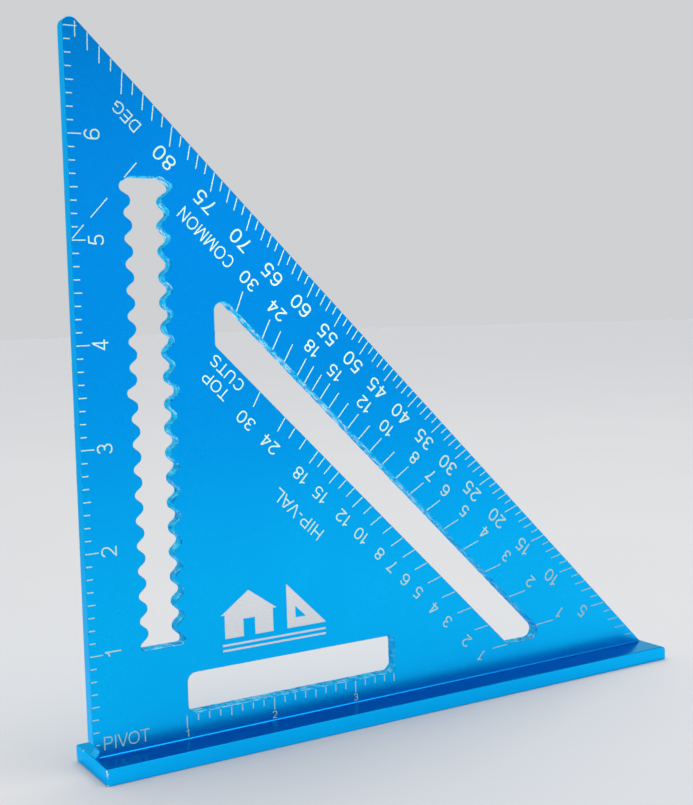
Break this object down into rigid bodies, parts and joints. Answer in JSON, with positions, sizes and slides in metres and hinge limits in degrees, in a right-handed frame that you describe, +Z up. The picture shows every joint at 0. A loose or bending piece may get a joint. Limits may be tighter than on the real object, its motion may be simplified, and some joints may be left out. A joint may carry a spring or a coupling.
{
  "type": "speed square",
  "caption": "Triangular rafter square: a blade with degree, inch and rafter scales, a notched scribing slot and two plain slots, on a T-shaped fence.",
  "frame": {"origin": "centre of the fence's underside, which is the face the square stands on", "axes": "+Z up the blade, +X along the fence from the pivot end to the toe, -Y out of the marked face of the blade"},
  "size_m": [0.185, 0.0218, 0.1842],
  "materials": {
    "blade": "satin blue anodised, with light grey etched markings",
    "fence": "satin blue anodised, worn to bare metal at the heel corners"
  },
  "bodies": {
    "root": {"blade": "blade", "fence": "fence"}
  },
  "joints": []
}
